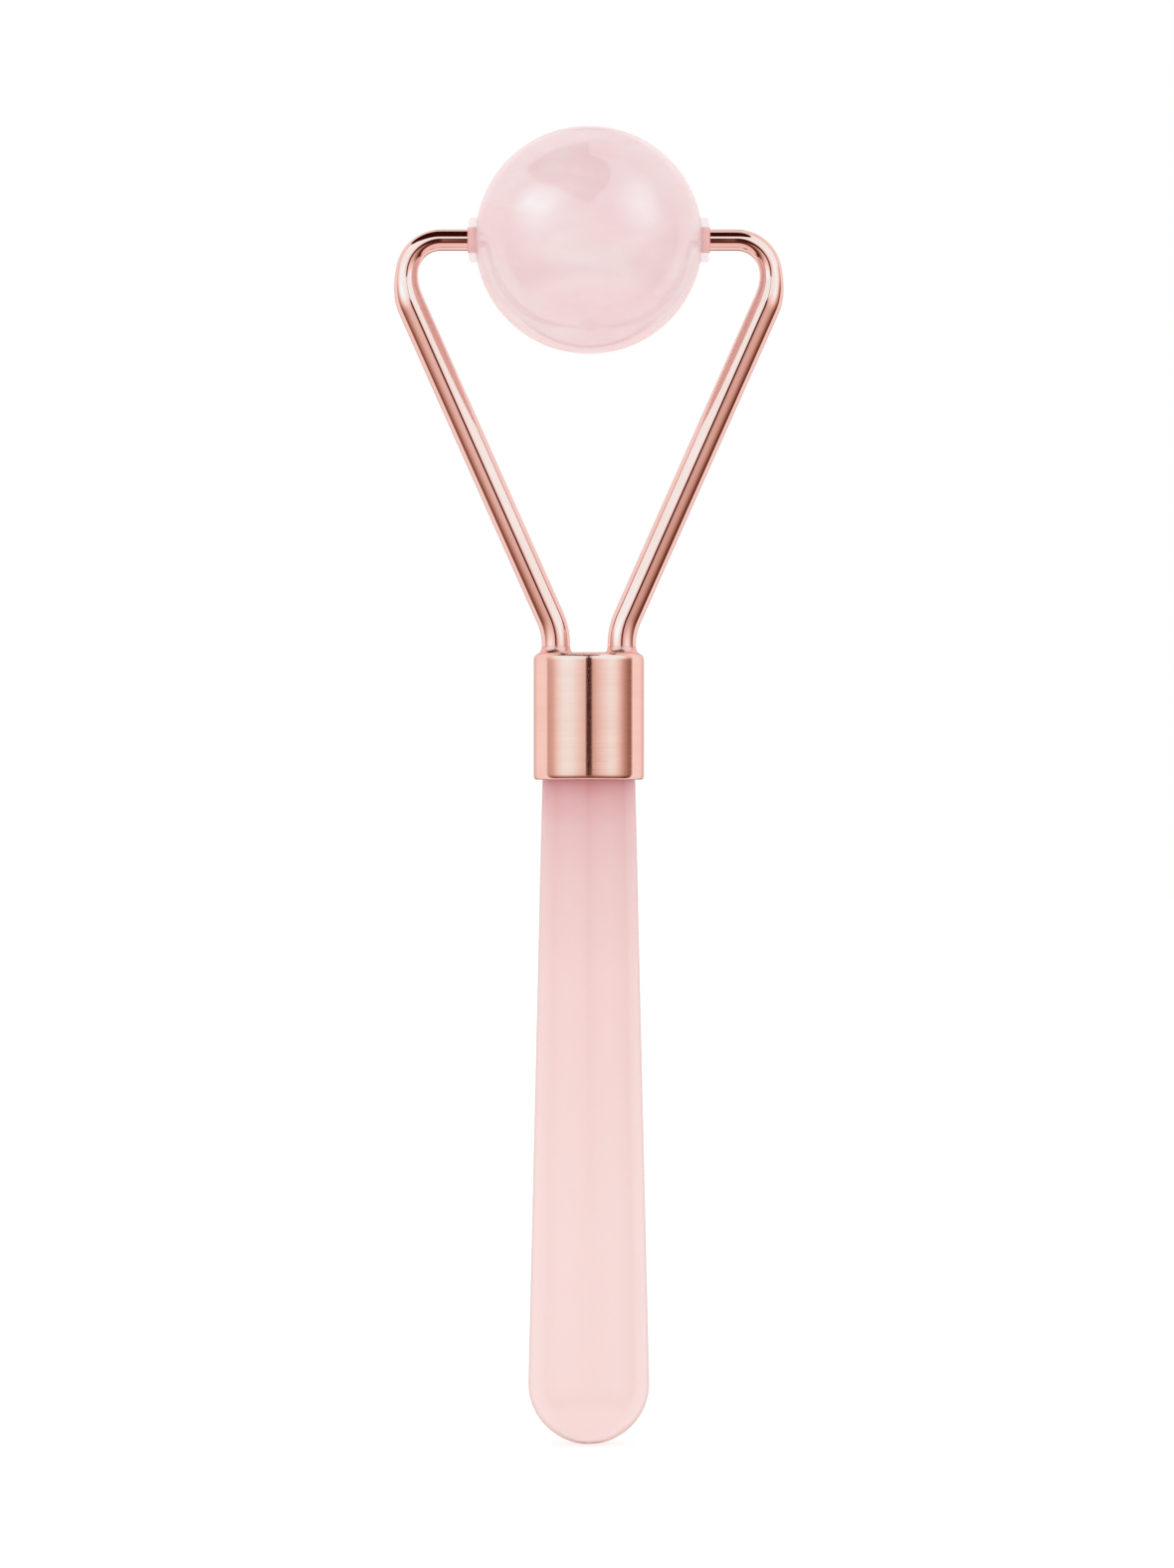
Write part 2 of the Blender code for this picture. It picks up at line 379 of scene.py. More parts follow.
def arm_bends(axle):
    """The right arm's bends as lists of (x, z): tight and then easy at the stub, and the leg's."""
    straight = math.radians(90) + ARM_LEAN
    tight_x = ARM_REACH - TIGHT_BEND * math.sin(TIGHT_TURN) - EASY_BEND * (1 - math.sin(TIGHT_TURN))
    tight_centre = (tight_x, axle - TIGHT_BEND)
    tight = bend(tight_centre, TIGHT_BEND, 0.0, TIGHT_TURN)
    shift = TIGHT_BEND - EASY_BEND
    easy_centre = (
        tight_centre[0] + shift * math.sin(TIGHT_TURN),
        tight_centre[1] + shift * math.cos(TIGHT_TURN),
    )
    easy = bend(easy_centre, EASY_BEND, TIGHT_TURN, straight)

    leg_x = LEG_OFFSET + LEG_BEND
    run = easy[-1][0] - (leg_x - LEG_BEND * math.cos(ARM_LEAN))
    leg_top = easy[-1][1] - run / math.tan(ARM_LEAN) - LEG_BEND * math.sin(ARM_LEAN)
    leg_end = -math.radians(90)
    leg = bend((leg_x, leg_top), LEG_BEND, leg_end + ARM_LEAN, leg_end)
    return tight, easy, leg


def straight_run(start, end, start_radius, end_radius):
    """Points (x, z, rod radius) along a straight stretch of the rod, without the first."""
    run = []
    for share in spread(start, end):
        x = start[0] + (end[0] - start[0]) * share
        z = start[1] + (end[1] - start[1]) * share
        run.append((x, z, start_radius + (end_radius - start_radius) * share))
    return run


def arm_route(size):
    """The right arm's centre line as (x, z, rod radius), from the stub's tip to the leg's foot."""
    tight, easy, leg = arm_bends(size["axle"])
    tip = (size["stub_tip"], size["axle"])
    foot = (LEG_OFFSET, size["leg_foot"])
    route = [(*tip, STUB_RADIUS), *straight_run(tip, tight[0], STUB_RADIUS, STUB_RADIUS)]
    for step, (x, z) in enumerate(tight[1:], 1):
        share = step / (len(tight) - 1)
        route.append((x, z, STUB_RADIUS + (BEND_END_RADIUS - STUB_RADIUS) * share))
    for step, (x, z) in enumerate(easy[1:], 1):
        share = step / (len(easy) - 1)
        growth = share * share * (3 - 2 * share)
        route.append((x, z, BEND_END_RADIUS + (ARM_RADIUS - BEND_END_RADIUS) * growth))
    route += straight_run(easy[-1], leg[0], ARM_RADIUS, LEG_RADIUS)
    route += [(x, z, LEG_RADIUS) for x, z in leg[1:]]
    route += straight_run(leg[-1], foot, LEG_RADIUS, LEG_RADIUS)
    return route


def make_arm(size, side, sign):
    """One bent rod, as a tube of rings across the route's own direction."""
    route = arm_route(size)
    shape = bmesh.new()
    rings = []
    for index, (x, z, radius) in enumerate(route):
        before, after = route[max(index - 1, 0)], route[min(index + 1, len(route) - 1)]
        along_x, along_z = after[0] - before[0], after[1] - before[1]
        length = math.hypot(along_x, along_z)
        across = (along_z / length, -along_x / length)
        ring = []
        for step in range(ROD_SIDES):
            angle = 2 * math.pi * step / ROD_SIDES
            out, y = radius * math.cos(angle), radius * math.sin(angle)
            point = (sign * (x + out * across[0]), y, z + out * across[1])
            ring.append(shape.verts.new(point))
        rings.append(ring)
    for upper, lower in zip(rings, rings[1:]):
        bridge(shape, upper, lower)
    shape.faces.new(rings[0])
    shape.faces.new(rings[-1])
    bmesh.ops.recalc_face_normals(shape, faces=shape.faces)
    return finished(f"arm_rod_{side}", shape)


def top_height(profile, radius):
    """Height of the ferrule's top at a radius, read along its shoulder's points."""
    if radius <= profile[0][0]:
        return profile[0][1]
    for (r0, z0), (r1, z1) in zip(profile, profile[1:]):
        if r0 <= radius <= r1:
            return z0 + (z1 - z0) * (radius - r0) / (r1 - r0)
    return profile[-1][1]


def make_fillet(size, side, sign):
    """Concave ring where a leg flows into the ferrule's top, sitting on its crowned shoulder."""
    shoulder = shoulder_profile(size)
    inner = LEG_RADIUS + FIT / 2
    rings = []
    for row in range(FILLET_ROWS + 1):
        angle = math.radians(90) * row / FILLET_ROWS
        r = inner + FILLET_WIDTH * (1 - math.cos(angle))
        rings.append((r, FILLET_HEIGHT * (1 - math.sin(angle))))
    rings.append((inner + FILLET_WIDTH, -FILLET_SUNK))
    rings.append((inner, -FILLET_SUNK))
    shape = bmesh.new()
    loops = []
    for r, lift in rings:
        loop = []
        for step in range(SMALL_STEPS):
            turn = 2 * math.pi * step / SMALL_STEPS
            x, y = LEG_OFFSET + r * math.cos(turn), r * math.sin(turn)
            z = top_height(shoulder, math.hypot(x, y)) + lift
            loop.append(shape.verts.new((sign * x, y, z)))
        loops.append(loop)
    for first, second in zip(loops, loops[1:] + loops[:1]):
        bridge(shape, first, second)
    bmesh.ops.recalc_face_normals(shape, faces=shape.faces)
    return finished(f"foot_fillet_{side}", shape)


def make_ball(size):
    """Polished stone ball with a blind bore at each pole, turned about its axle."""
    bore = BUSH_SLEEVE_RADIUS + FIT
    floor = size["sleeve_end"] - FIT
    mouth = math.degrees(math.acos(bore / size["ball"]))
    profile = [(0.0, floor), (bore, floor)]
    profile += arc(0.0, 0.0, size["ball"], mouth, -mouth, BALL_ROWS)
    profile += [(bore, -floor), (0.0, -floor)]
    return place(turned("ball_stone", profile, axis="X"), z=size["axle"])


def flange_profile(size):
    """Points (r, x) round the bush's flange: rounded rim, shallow groove, back against the ball."""
    flange, face = size["flange"], size["bush_face"]
    inner = BUSH_COLLAR_RADIUS + FIT
    back = math.sqrt(size["ball"] ** 2 - flange**2) + FIT
    inner_back = math.sqrt(size["ball"] ** 2 - inner**2) + FIT
    rim_middle = flange - BUSH_RIM
    groove = back + BUSH_GROOVE_UP
    profile = [(inner, face - BUSH_CROWN - FIT), (inner + 2 * FIT, face - BUSH_CROWN)]
    rim_height = face - BUSH_CROWN - BUSH_RIM
    profile += arc(rim_middle, rim_height, BUSH_RIM, BUSH_RIM_START, 0, BUSH_RIM_ROWS)
    profile += [
        (flange, groove + BUSH_GROOVE),
        (flange - BUSH_GROOVE, groove),
        (flange, groove - BUSH_GROOVE),
        (flange, back),
        (inner, inner_back),
    ]
    return profile


def sleeve_profile(size):
    """Points (r, x) round the bush's sleeve, with a collar that stands proud of the flange."""
    throat = math.sqrt(size["ball"] ** 2 - BUSH_SLEEVE_RADIUS**2) - BUSH_THROAT
    face, edge = size["bush_face"], BUSH_COLLAR_BEVEL
    return [
        (0.0, BUSH_BORE_END),
        (BUSH_BORE_RADIUS, BUSH_BORE_END),
        (BUSH_BORE_RADIUS, face - edge),
        (BUSH_BORE_RADIUS + edge, face),
        (BUSH_COLLAR_RADIUS - edge, face),
        (BUSH_COLLAR_RADIUS, face - edge),
        (BUSH_COLLAR_RADIUS, throat),
        (BUSH_SLEEVE_RADIUS, throat),
        (BUSH_SLEEVE_RADIUS, size["sleeve_end"]),
        (0.0, size["sleeve_end"]),
    ]


def make_bush(size, side, sign):
    """Moulded bush as its clear rounded flange and the milky sleeve that runs in the stone."""
    flange = turned(f"bush_flange_{side}", flange_profile(size), SMALL_STEPS, axis="X", closed=True)
    sleeve = turned(f"bush_sleeve_{side}", sleeve_profile(size), SMALL_STEPS, axis="X")
    for part in (flange, sleeve):
        if sign < 0:
            mirror_x(part)
        place(part, z=size["axle"])
    return flange, sleeve


# -------------------- node helpers


class Graph:
    """Short calls that add nodes to one node tree."""

    def __init__(self, tree):
        self.tree = tree

    def add(self, kind, inputs=None, **settings):
        """A new node with its settings, and its inputs linked or set."""
        node = self.tree.nodes.new(kind)
        for name, value in settings.items():
            setattr(node, name, value)
        for socket, value in (inputs or {}).items():
            self.feed(node.inputs[socket], value)
        return node

    def feed(self, socket, value):
        """Link a socket to another, or set its value."""
        if isinstance(value, bpy.types.NodeSocket):
            self.tree.links.new(value, socket)
        else:
            socket.default_value = value

    def math(self, operation, *values):
        """The result of one Math node."""
        inputs = dict(enumerate(values))
        return self.add("ShaderNodeMath", inputs, operation=operation).outputs[0]

    def between(self, value, start, end):
        """A smooth step of a value, from 0 at start to 1 at end."""
        inputs = {"Value": value, "From Min": start, "From Max": end}
        node = self.add("ShaderNodeMapRange", inputs, interpolation_type="SMOOTHSTEP")
        return node.outputs["Result"]

    def bell(self, value, width):
        """A bell curve of a value, 1 at 0."""
        off = self.math("DIVIDE", value, width)
        return self.math("EXPONENT", self.math("MULTIPLY", self.math("MULTIPLY", off, off), -0.5))

    def spread(self, value, low, high):
        """A value from 0 to 1, spread over low to high."""
        inputs = {"Value": value, "To Min": low, "To Max": high}
        return self.add("ShaderNodeMapRange", inputs).outputs["Result"]

    def ramp(self, value, stops):
        """A colour ramp over (position, colour) stops."""
        node = self.add("ShaderNodeValToRGB", {"Fac": value})
        elements = node.color_ramp.elements
        while len(elements) < len(stops):
            elements.new(0.5)
        for element, (position, colour) in zip(elements, stops):
            element.position = position
            element.color = (*colour, 1.0)
        return node.outputs["Color"]

    def mix(self, factor, first, second):
        """A colour mixed from two by a factor, through the Mix node's colour sockets."""
        inputs = {0: factor, 6: first, 7: second}
        return self.add("ShaderNodeMix", inputs, data_type="RGBA").outputs[2]

    def mix_level(self, factor, first, second):
        """A number mixed from two by a factor, through the Mix node's number sockets."""
        return self.add("ShaderNodeMix", {0: factor, 2: first, 3: second}).outputs[0]

    def dot(self, vector, other):
        """The dot product of a vector with another."""
        node = self.add("ShaderNodeVectorMath", {0: vector, 1: other}, operation="DOT_PRODUCT")
        return node.outputs["Value"]

    def parts(self, vector):
        """A vector's X, Y and Z outputs, by name."""
        return self.add("ShaderNodeSeparateXYZ", {"Vector": vector}).outputs

    def noise(self, where, scale, detail, stretch=(1.0, 1.0, 1.0), distortion=0.0):
        """A noise value from 0 to 1 over a place, finer along an axis where stretch is larger."""
        mapping = self.add("ShaderNodeMapping", {"Vector": where, "Scale": stretch})
        inputs = {
            "Vector": mapping.outputs[0],
            "Scale": scale,
            "Detail": detail,
            "Distortion": distortion,
        }
        return self.add("ShaderNodeTexNoise", inputs).outputs["Fac"]

    def bump(self, height, distance):
        """A bumped normal from a height value."""
        inputs = {"Height": height, "Distance": distance, "Strength": 1.0}
        return self.add("ShaderNodeBump", inputs).outputs["Normal"]


def srgb(red, green, blue):
    """Scene-linear colour of an 8-bit display colour."""
    linear = []
    for value in (red, green, blue):
        share = value / 255
        linear.append(share / 12.92 if share <= 0.04045 else ((share + 0.055) / 1.055) ** 2.4)
    return tuple(linear)


def new_material(name, **constants):
    """A Principled material with constant socket values: (material, graph, shader, object place)."""
    material = bpy.data.materials.new(name)
    material.use_nodes = True
    graph = Graph(material.node_tree)
    shader = material.node_tree.nodes["Principled BSDF"]
    for socket, value in constants.items():
        shader.inputs[socket.replace("_", " ")].default_value = value
    return material, graph, shader, graph.add("ShaderNodeTexCoord").outputs["Object"]


# -------------------- materials

# Rose-gold plate: polished on the rods, turned on the ferrule, each with its warmer patches
GOLD = (0.85, 0.56, 0.49)
GOLD_WARM = (0.83, 0.53, 0.455)
TURNED_GOLD = (0.85, 0.56, 0.468)
TURNED_GOLD_WARM = (0.83, 0.53, 0.435)
# Braze at the feet, and the ferrule's flat top, both redder
BRAZE = (0.82, 0.44, 0.38)
BRAZE_WARM = (0.80, 0.40, 0.33)
TOP_GOLD = (0.85, 0.47, 0.38)
POLISHED_ROUGHNESS = (0.03, 0.08)
BRAZE_ROUGHNESS = (0.22, 0.35)
# The handle's painted shade, darker pink up by the ferrule that shades it, fades over this length
# below the ferrule, its edge drifting a little
HANDLE_SHADE_LENGTH = 60.0 * MM
HANDLE_SHADE_DRIFT = 4.0 * MM
# The bush: how solid its clear flange looks, and the clouds of the flange and the milky sleeve
FLANGE_ALPHA = 0.28
FLANGE_CLOUDS = (srgb(250, 236, 234), srgb(253, 242, 240))
SLEEVE_CLOUDS = (srgb(246, 158, 156), srgb(249, 170, 167))


def make_polished_gold(name, roughness, colours):
    """Rose-gold plate, polished: faint draw lines, a little uneven lustre."""
    material, graph, shader, where = new_material(name, Metallic=1.0)
    patches = graph.noise(where, scale=160.0, detail=3.0)
    cooler, warmer = colours
    colour = graph.mix(graph.between(patches, 0.35, 0.7), (*cooler, 1.0), (*warmer, 1.0))
    graph.feed(shader.inputs["Base Color"], colour)
    scratches = graph.noise(where, scale=900.0, detail=4.0, stretch=(1.0, 1.0, 0.12))
    graph.feed(shader.inputs["Roughness"], graph.spread(scratches, *roughness))
    waves = graph.noise(where, scale=260.0, detail=2.0, stretch=(1.0, 1.0, 0.5))
    graph.feed(shader.inputs["Normal"], graph.bump(waves, 0.003 * MM))
    return material


def make_turned_gold(name, size):
    """Rose-gold plate over fine turned lines that run round the ferrule, redder on its flat top."""
    material, graph, shader, where = new_material(
        name,
        Metallic=1.0,
        Anisotropic=0.9,
        Anisotropic_Rotation=0.25,
        Specular_Tint=(1.0, 0.92, 0.89, 1.0),
    )
    lines = graph.noise(where, scale=900.0, detail=3.0, stretch=(0.06, 0.06, 6.0))
    patches = graph.noise(where, scale=300.0, detail=3.0, stretch=(0.4, 0.4, 3.0))
    mellow = graph.between(patches, 0.3, 0.75)
    colour = graph.mix(mellow, (*TURNED_GOLD, 1.0), (*TURNED_GOLD_WARM, 1.0))
    height = graph.parts(where)["Z"]
    top = graph.between(height, size["ferrule_top"] - 2 * FIT, size["ferrule_top"] - FIT / 2)
    colour = graph.mix(top, colour, (*TOP_GOLD, 1.0))
    graph.feed(shader.inputs["Base Color"], colour)
    graph.feed(shader.inputs["Roughness"], graph.spread(lines, 0.10, 0.22))
    tangent = graph.add("ShaderNodeTangent", direction_type="RADIAL", axis="Z")
    graph.feed(shader.inputs["Tangent"], tangent.outputs[0])
    graph.feed(shader.inputs["Normal"], graph.bump(lines, 0.003 * MM))
    return material


def make_steel(name):
    """Plain zinc-grey steel with a fine machined grain."""
    material, graph, shader, where = new_material(name, Metallic=1.0)
    grain = graph.noise(where, scale=2500.0, detail=3.0)
    colour = graph.ramp(grain, ((0.3, (0.42, 0.42, 0.43)), (0.75, (0.62, 0.62, 0.63))))
    graph.feed(shader.inputs["Base Color"], colour)
    graph.feed(shader.inputs["Roughness"], graph.spread(grain, 0.25, 0.45))
    return material


def make_handle_plastic(name, size):
    """Glossy translucent pink plastic, with painted shade: darker pink up where the ferrule shades
    it.
    """
    material, graph, shader, where = new_material(
        name,
        IOR=1.38,
        Subsurface_Weight=0.25,
        Subsurface_Radius=(1.0, 0.55, 0.5),
        Subsurface_Scale=2.0 * MM,
    )
    height = graph.parts(where)["Z"]
    cloud = graph.noise(where, scale=70.0, detail=3.0)
    drift = graph.math("MULTIPLY", graph.math("SUBTRACT", cloud, 0.5), HANDLE_SHADE_DRIFT)
    depth = graph.math("SUBTRACT", size["ferrule_bottom"], graph.math("ADD", height, drift))
    share = graph.math("DIVIDE", depth, HANDLE_SHADE_LENGTH)
    # Painted shade: the pink darkens towards the ferrule, where the ferrule shades the handle
    stops = (
        (0.0, srgb(207, 142, 144)),
        (0.03, srgb(218, 167, 168)),
        (0.08, srgb(227, 187, 186)),
        (0.17, srgb(231, 196, 195)),
        (0.35, srgb(237, 206, 203)),
        (0.85, srgb(240, 214, 211)),
    )
    graph.feed(shader.inputs["Base Color"], graph.ramp(share, stops))
    polish = graph.noise(where, scale=420.0, detail=3.0, stretch=(1.0, 1.0, 0.3))
    graph.feed(shader.inputs["Roughness"], graph.spread(polish, 0.06, 0.12))
    ripple = graph.noise(where, scale=110.0, detail=1.0, stretch=(1.0, 1.0, 0.3))
    graph.feed(shader.inputs["Normal"], graph.bump(ripple, 0.02 * MM))
    return material


def make_stone(name):
    """Polished rose quartz: milky clouds, faint drawn-out veils and a few warm specks."""
    material, graph, shader, where = new_material(
        name,
        IOR=1.47,
        Subsurface_Weight=0.3,
        Subsurface_Radius=(1.0, 0.6, 0.6),
        Subsurface_Scale=1.5 * MM,
    )
    cloud = graph.noise(where, scale=95.0, detail=4.0, stretch=(0.8, 1.0, 1.5), distortion=0.6)
    veil = graph.noise(where, scale=220.0, detail=5.0, stretch=(0.45, 1.0, 1.6), distortion=1.2)
    both = graph.math("ADD", graph.math("MULTIPLY", cloud, 0.7), graph.math("MULTIPLY", veil, 0.3))
    stops = (
        (0.36, srgb(233, 203, 205)),
        (0.48, srgb(234, 207, 208)),
        (0.58, srgb(235, 212, 213)),
        (0.70, srgb(236, 219, 219)),
    )
    clouds = graph.ramp(both, stops)
    cells = graph.add("ShaderNodeTexVoronoi", {"Vector": where, "Scale": 330.0})
    near = graph.between(cells.outputs["Distance"], 0.22, 0.05)
    pick = graph.add("ShaderNodeSeparateColor", {"Color": cells.outputs["Color"]}).outputs[0]
    rare = graph.between(pick, 0.94, 0.97)
    speck = graph.math("MULTIPLY", graph.math("MULTIPLY", near, rare), 0.35)
    colour = graph.mix(speck, clouds, (*srgb(236, 178, 150), 1.0))
    graph.feed(shader.inputs["Base Color"], colour)
    graph.feed(shader.inputs["Roughness"], graph.spread(veil, 0.0, 0.02))
    graph.feed(shader.inputs["Normal"], graph.bump(cloud, 0.002 * MM))
    return material


def make_moulded_plastic(name, clouds, alpha=1.0):
    """Moulded plastic, faintly cloudy, as clear as its alpha says."""
    material, graph, shader, where = new_material(name, IOR=1.25, Alpha=alpha)
    darker, paler = clouds
    cloud = graph.noise(where, scale=600.0, detail=3.0)
    graph.feed(shader.inputs["Base Color"], graph.ramp(cloud, ((0.3, darker), (0.7, paler))))
    graph.feed(shader.inputs["Roughness"], graph.spread(cloud, 0.12, 0.2))
    return material


# -------------------- studio

# Brightness of the two front light panels across, by degrees to the camera's right
PANEL_ACROSS = (
    (-94, 0.45), (-80, 0.60), (-68, 0.98), (-57, 1.20),
    (-46, 1.28), (-34, 1.20), (-18, 0.90), (-8, 0.72),
    (7, 0.46), (18, 0.74), (34, 1.02), (46, 1.20),
    (57, 1.10), (68, 0.76), (80, 0.38), (94, 0.15),
)
PANEL_LEVEL = 1.62
# The panels fade from full brightness down to nothing between these heights, in degrees
PANEL_FULL = 21.0
PANEL_FADED = -32.0
# Higher up they are even across, and dimmer only far out to the sides
EVEN_START = 6.0
EVEN_END = 20.0
EVEN_LEVEL = 0.88
EVEN_SIDE_LEVEL = 0.55
EVEN_SIDE_START = 78.0
EVEN_SIDE_END = 95.0
# Their top edge is lowest straight ahead and rises to the left and right, per degree across
PANEL_TOP = 33.0
PANEL_TOP_LEFT = 0.35
PANEL_TOP_LEFT_MOST = 15.0
PANEL_TOP_RIGHT = 0.72
PANEL_TOP_SOFT = 1.5
# Steeply below them is a bright table, and everything else in front is dark
TABLE_TOP = -39.0
TABLE_SOFT = 6.0
TABLE_LEVEL = 0.90
DARK_LEVEL = 0.006
# The white backdrop starts behind this tilted plane and dims straight behind the roller
BACKDROP_TILT = (-0.04, 1.0, -0.20)
BACKDROP_EDGE = 0.18
BACKDROP_SOFT = 0.06
BACKDROP_LEVEL = 1.06
BACKDROP_FALL = 0.30
BACKDROP_FALL_POWER = 4.0
# Straight behind, the backdrop fades downward and has a narrow dark seam
REAR_START = 138.0
REAR_END = 154.0
REAR_LOW = 0.40
REAR_SEAM = 5.0
REAR_SEAM_SOFT = 1.5
REAR_SEAM_TOP = 36.0
REAR_SEAM_TOP_SOFT = 4.0
REAR_SEAM_FOOT_SOFT = 6.0
REAR_SEAM_LEVEL = 0.08
WHITE = (1.0, 1.0, 1.0, 1.0)
# Dark gap between the panels, near enough that each arm sees it from its own side
GAP_DISTANCE = 240.0 * MM
GAP_ACROSS = 1.0 * MM
GAP_WIDTH = 60.0 * MM
GAP_TOP = 192.0 * MM
GAP_BOTTOM = 20.0 * MM
GAP_MIDDLE = (0.055, 0.017, 0.014)
GAP_SIDE = (0.36, 0.16, 0.12)
# The gap carries on upward as a narrow brown seam
SEAM_WIDTH = 17.0 * MM
SEAM_TOP = 330.0 * MM
SEAM_COLOUR = (0.34, 0.17, 0.13)
# Shares of a card's size from its middle: its edge, and how far out it is solid
CARD_EDGE = 0.5
CARD_SOLID = 0.40
# In the same shares, where the gap's dark middle ends, where it is all brown, and its soft low end
GAP_DARK_SHARE = 0.26
GAP_BROWN_SHARE = 0.44
GAP_SOFT_END = 0.25
SEAM_SOFT_END = 0.01
# Light added over the gap and the seam for the ball alone, which should mirror neither.
# It starts and is full at heights in a card's shares.
FILL_DISTANCE = 230.0 * MM
GAP_FILL_BOTTOM = -12.0 * MM
GAP_FILL_TOP = 188.0 * MM
GAP_FILL_START = -0.39
GAP_FILL_FULL = 0.71
SEAM_FILL_TOP = 276.0 * MM
SEAM_FILL_LEVEL = 1.25
# Light added over the dimmed backdrop for the ball and the bushes: an even part, one that grows
# downward between two heights on the card, and one over the seam that weakens downward
REAR_FILL_DISTANCE = 300.0 * MM
REAR_FILL_BOTTOM = -86.0 * MM
REAR_FILL_TOP = 334.0 * MM
REAR_FILL_WIDTH = 503.0 * MM
REAR_FILL_GROWS = 0.15
REAR_FILL_GROWN = -0.45
REAR_FILL_EVEN = 0.14
REAR_FILL_FADE = 0.55
REAR_FILL_SOLID = 0.35
REAR_FILL_SEAM = 0.70
REAR_FILL_SEAM_FALL = 0.42
REAR_FILL_SEAM_EDGE = 0.068
REAR_FILL_SEAM_SOLID = 0.0365
# Two soft lamps mirrored in the ball
SPOT_DISTANCE = 300.0 * MM
SPOT_ACROSS = 57.0
SPOT_UP = 28.5
SPOT_SIZE = 480.0 * MM
SPOT_SPREAD = 0.15
SPOT_LEVEL = 3.6
# Short of red, so that they whiten the pink stone
SPOT_COLOUR = (0.42, 1.0, 1.0, 1.0)
# Cosine of the angle from a lamp where its light is gone, and where it is full
GRAZED = 0.45
FACED = 0.70
# Even light on matt surfaces, and how much a key from the upper left front adds
KEY_DIRECTION = (-0.25, -0.45, 0.85)
KEY_LEVEL = 0.10
SOFT_LEVEL = 0.97
# Pale floor that glows a little, so that it stays as white as the backdrop
FLOOR_SIZE = 6.0
FLOOR_COLOUR = (0.5, 0.5, 0.5, 1.0)
FLOOR_GLOW = 0.58
# Tint of a reflection by its brightness: warm where dark, neutral where bright
RED_GAIN = 1.08
RED_POWER = 0.66
RED_LIMIT = 1.08
BLUE_GAIN = 1.03
BLUE_POWER = 1.18


def panel_across(graph, across):
    """The panels' brightness by direction across, a grey ramp over the full turn."""
    share = graph.math("DIVIDE", graph.math("ADD", across, 180.0), 360.0)
    stops = [((degrees + 180.0) / 360.0, (level,) * 3) for degrees, level in PANEL_ACROSS]
    return graph.ramp(share, stops)


def reflected_studio(graph):
    """What the gloss mirrors: two front panels with a slit between, a table and a white backdrop."""
    ray = graph.add("ShaderNodeTexCoord").outputs["Generated"]
    parts = graph.parts(ray)
    toward = graph.math("MULTIPLY", parts["Y"], -1.0)
    across = graph.math("DEGREES", graph.math("ARCTAN2", parts["X"], toward))
    up = graph.math("DEGREES", graph.math("ARCSINE", parts["Z"]))
    table = graph.math("MULTIPLY", table_share(graph, up), TABLE_LEVEL)
    front = graph.math("MAXIMUM", front_panels(graph, across, up), table)
    front = graph.math("MAXIMUM", front, DARK_LEVEL)

    depth = graph.dot(ray, BACKDROP_TILT)
    behind = graph.between(depth, BACKDROP_EDGE - BACKDROP_SOFT, BACKDROP_EDGE + BACKDROP_SOFT)
    straight = graph.math("MAXIMUM", parts["Y"], 0.0)
    straight = graph.math("POWER", straight, BACKDROP_FALL_POWER)
    backdrop = graph.math("MULTIPLY_ADD", straight, -BACKDROP_FALL, BACKDROP_LEVEL)
    backdrop = graph.math("MULTIPLY", backdrop, rear_shade(graph, across, up))
    level = graph.mix_level(behind, front, backdrop)

    red = graph.math("MULTIPLY", graph.math("POWER", level, RED_POWER), RED_GAIN)
    red = graph.math("MINIMUM", red, RED_LIMIT)
    blue = graph.math("MULTIPLY", graph.math("POWER", level, BLUE_POWER), BLUE_GAIN)
    return graph.add("ShaderNodeCombineColor", {0: red, 1: level, 2: blue}).outputs[0]


def table_share(graph, up):
    """1 where the direction points down at the table, 0 above it."""
    return graph.between(up, TABLE_TOP + TABLE_SOFT, TABLE_TOP - TABLE_SOFT)


def front_panels(graph, across, up):
    """Brightness of the two front panels, whose top edges rise to both sides."""
    even = graph.between(up, EVEN_START, EVEN_END)
    side = graph.between(graph.math("ABSOLUTE", across), EVEN_SIDE_START, EVEN_SIDE_END)
    even_level = graph.spread(side, EVEN_LEVEL, EVEN_SIDE_LEVEL)
    across_level = graph.mix_level(even, panel_across(graph, across), even_level)
    fade = graph.math("MULTIPLY", graph.between(up, PANEL_FADED, PANEL_FULL), PANEL_LEVEL)
    left_rise = graph.math("MULTIPLY", across, -PANEL_TOP_LEFT)
    left_rise = graph.math("MINIMUM", left_rise, PANEL_TOP_LEFT_MOST)
    right_rise = graph.math("MULTIPLY", across, PANEL_TOP_RIGHT)
    top = graph.math("ADD", graph.math("MAXIMUM", left_rise, right_rise), PANEL_TOP)
    below_top = graph.between(graph.math("SUBTRACT", top, up), -PANEL_TOP_SOFT, PANEL_TOP_SOFT)
    return graph.math("MULTIPLY", graph.math("MULTIPLY", fade, across_level), below_top)


def rear_shade(graph, across, up):
    """How the backdrop darkens straight behind: fading downward, with a dark upright seam."""
    away = graph.math("ABSOLUTE", across)
    rear = graph.between(away, REAR_START, REAR_END)
    fade = graph.between(up, PANEL_FADED, PANEL_FULL)
    fade = graph.math("MAXIMUM", graph.spread(fade, REAR_LOW, 1.0), table_share(graph, up))
    fade = graph.mix_level(rear, 1.0, fade)
    seam_edge = 180.0 - REAR_SEAM
    seam = graph.between(away, seam_edge - REAR_SEAM_SOFT, seam_edge + REAR_SEAM_SOFT)
    below_top = graph.between(up, REAR_SEAM_TOP, REAR_SEAM_TOP - REAR_SEAM_TOP_SOFT)
    above_foot = graph.between(up, PANEL_FADED - REAR_SEAM_FOOT_SOFT, PANEL_FADED)
    seam = graph.math("MULTIPLY", graph.math("MULTIPLY", seam, below_top), above_foot)
    return graph.math("MULTIPLY", fade, graph.spread(seam, 1.0, REAR_SEAM_LEVEL))


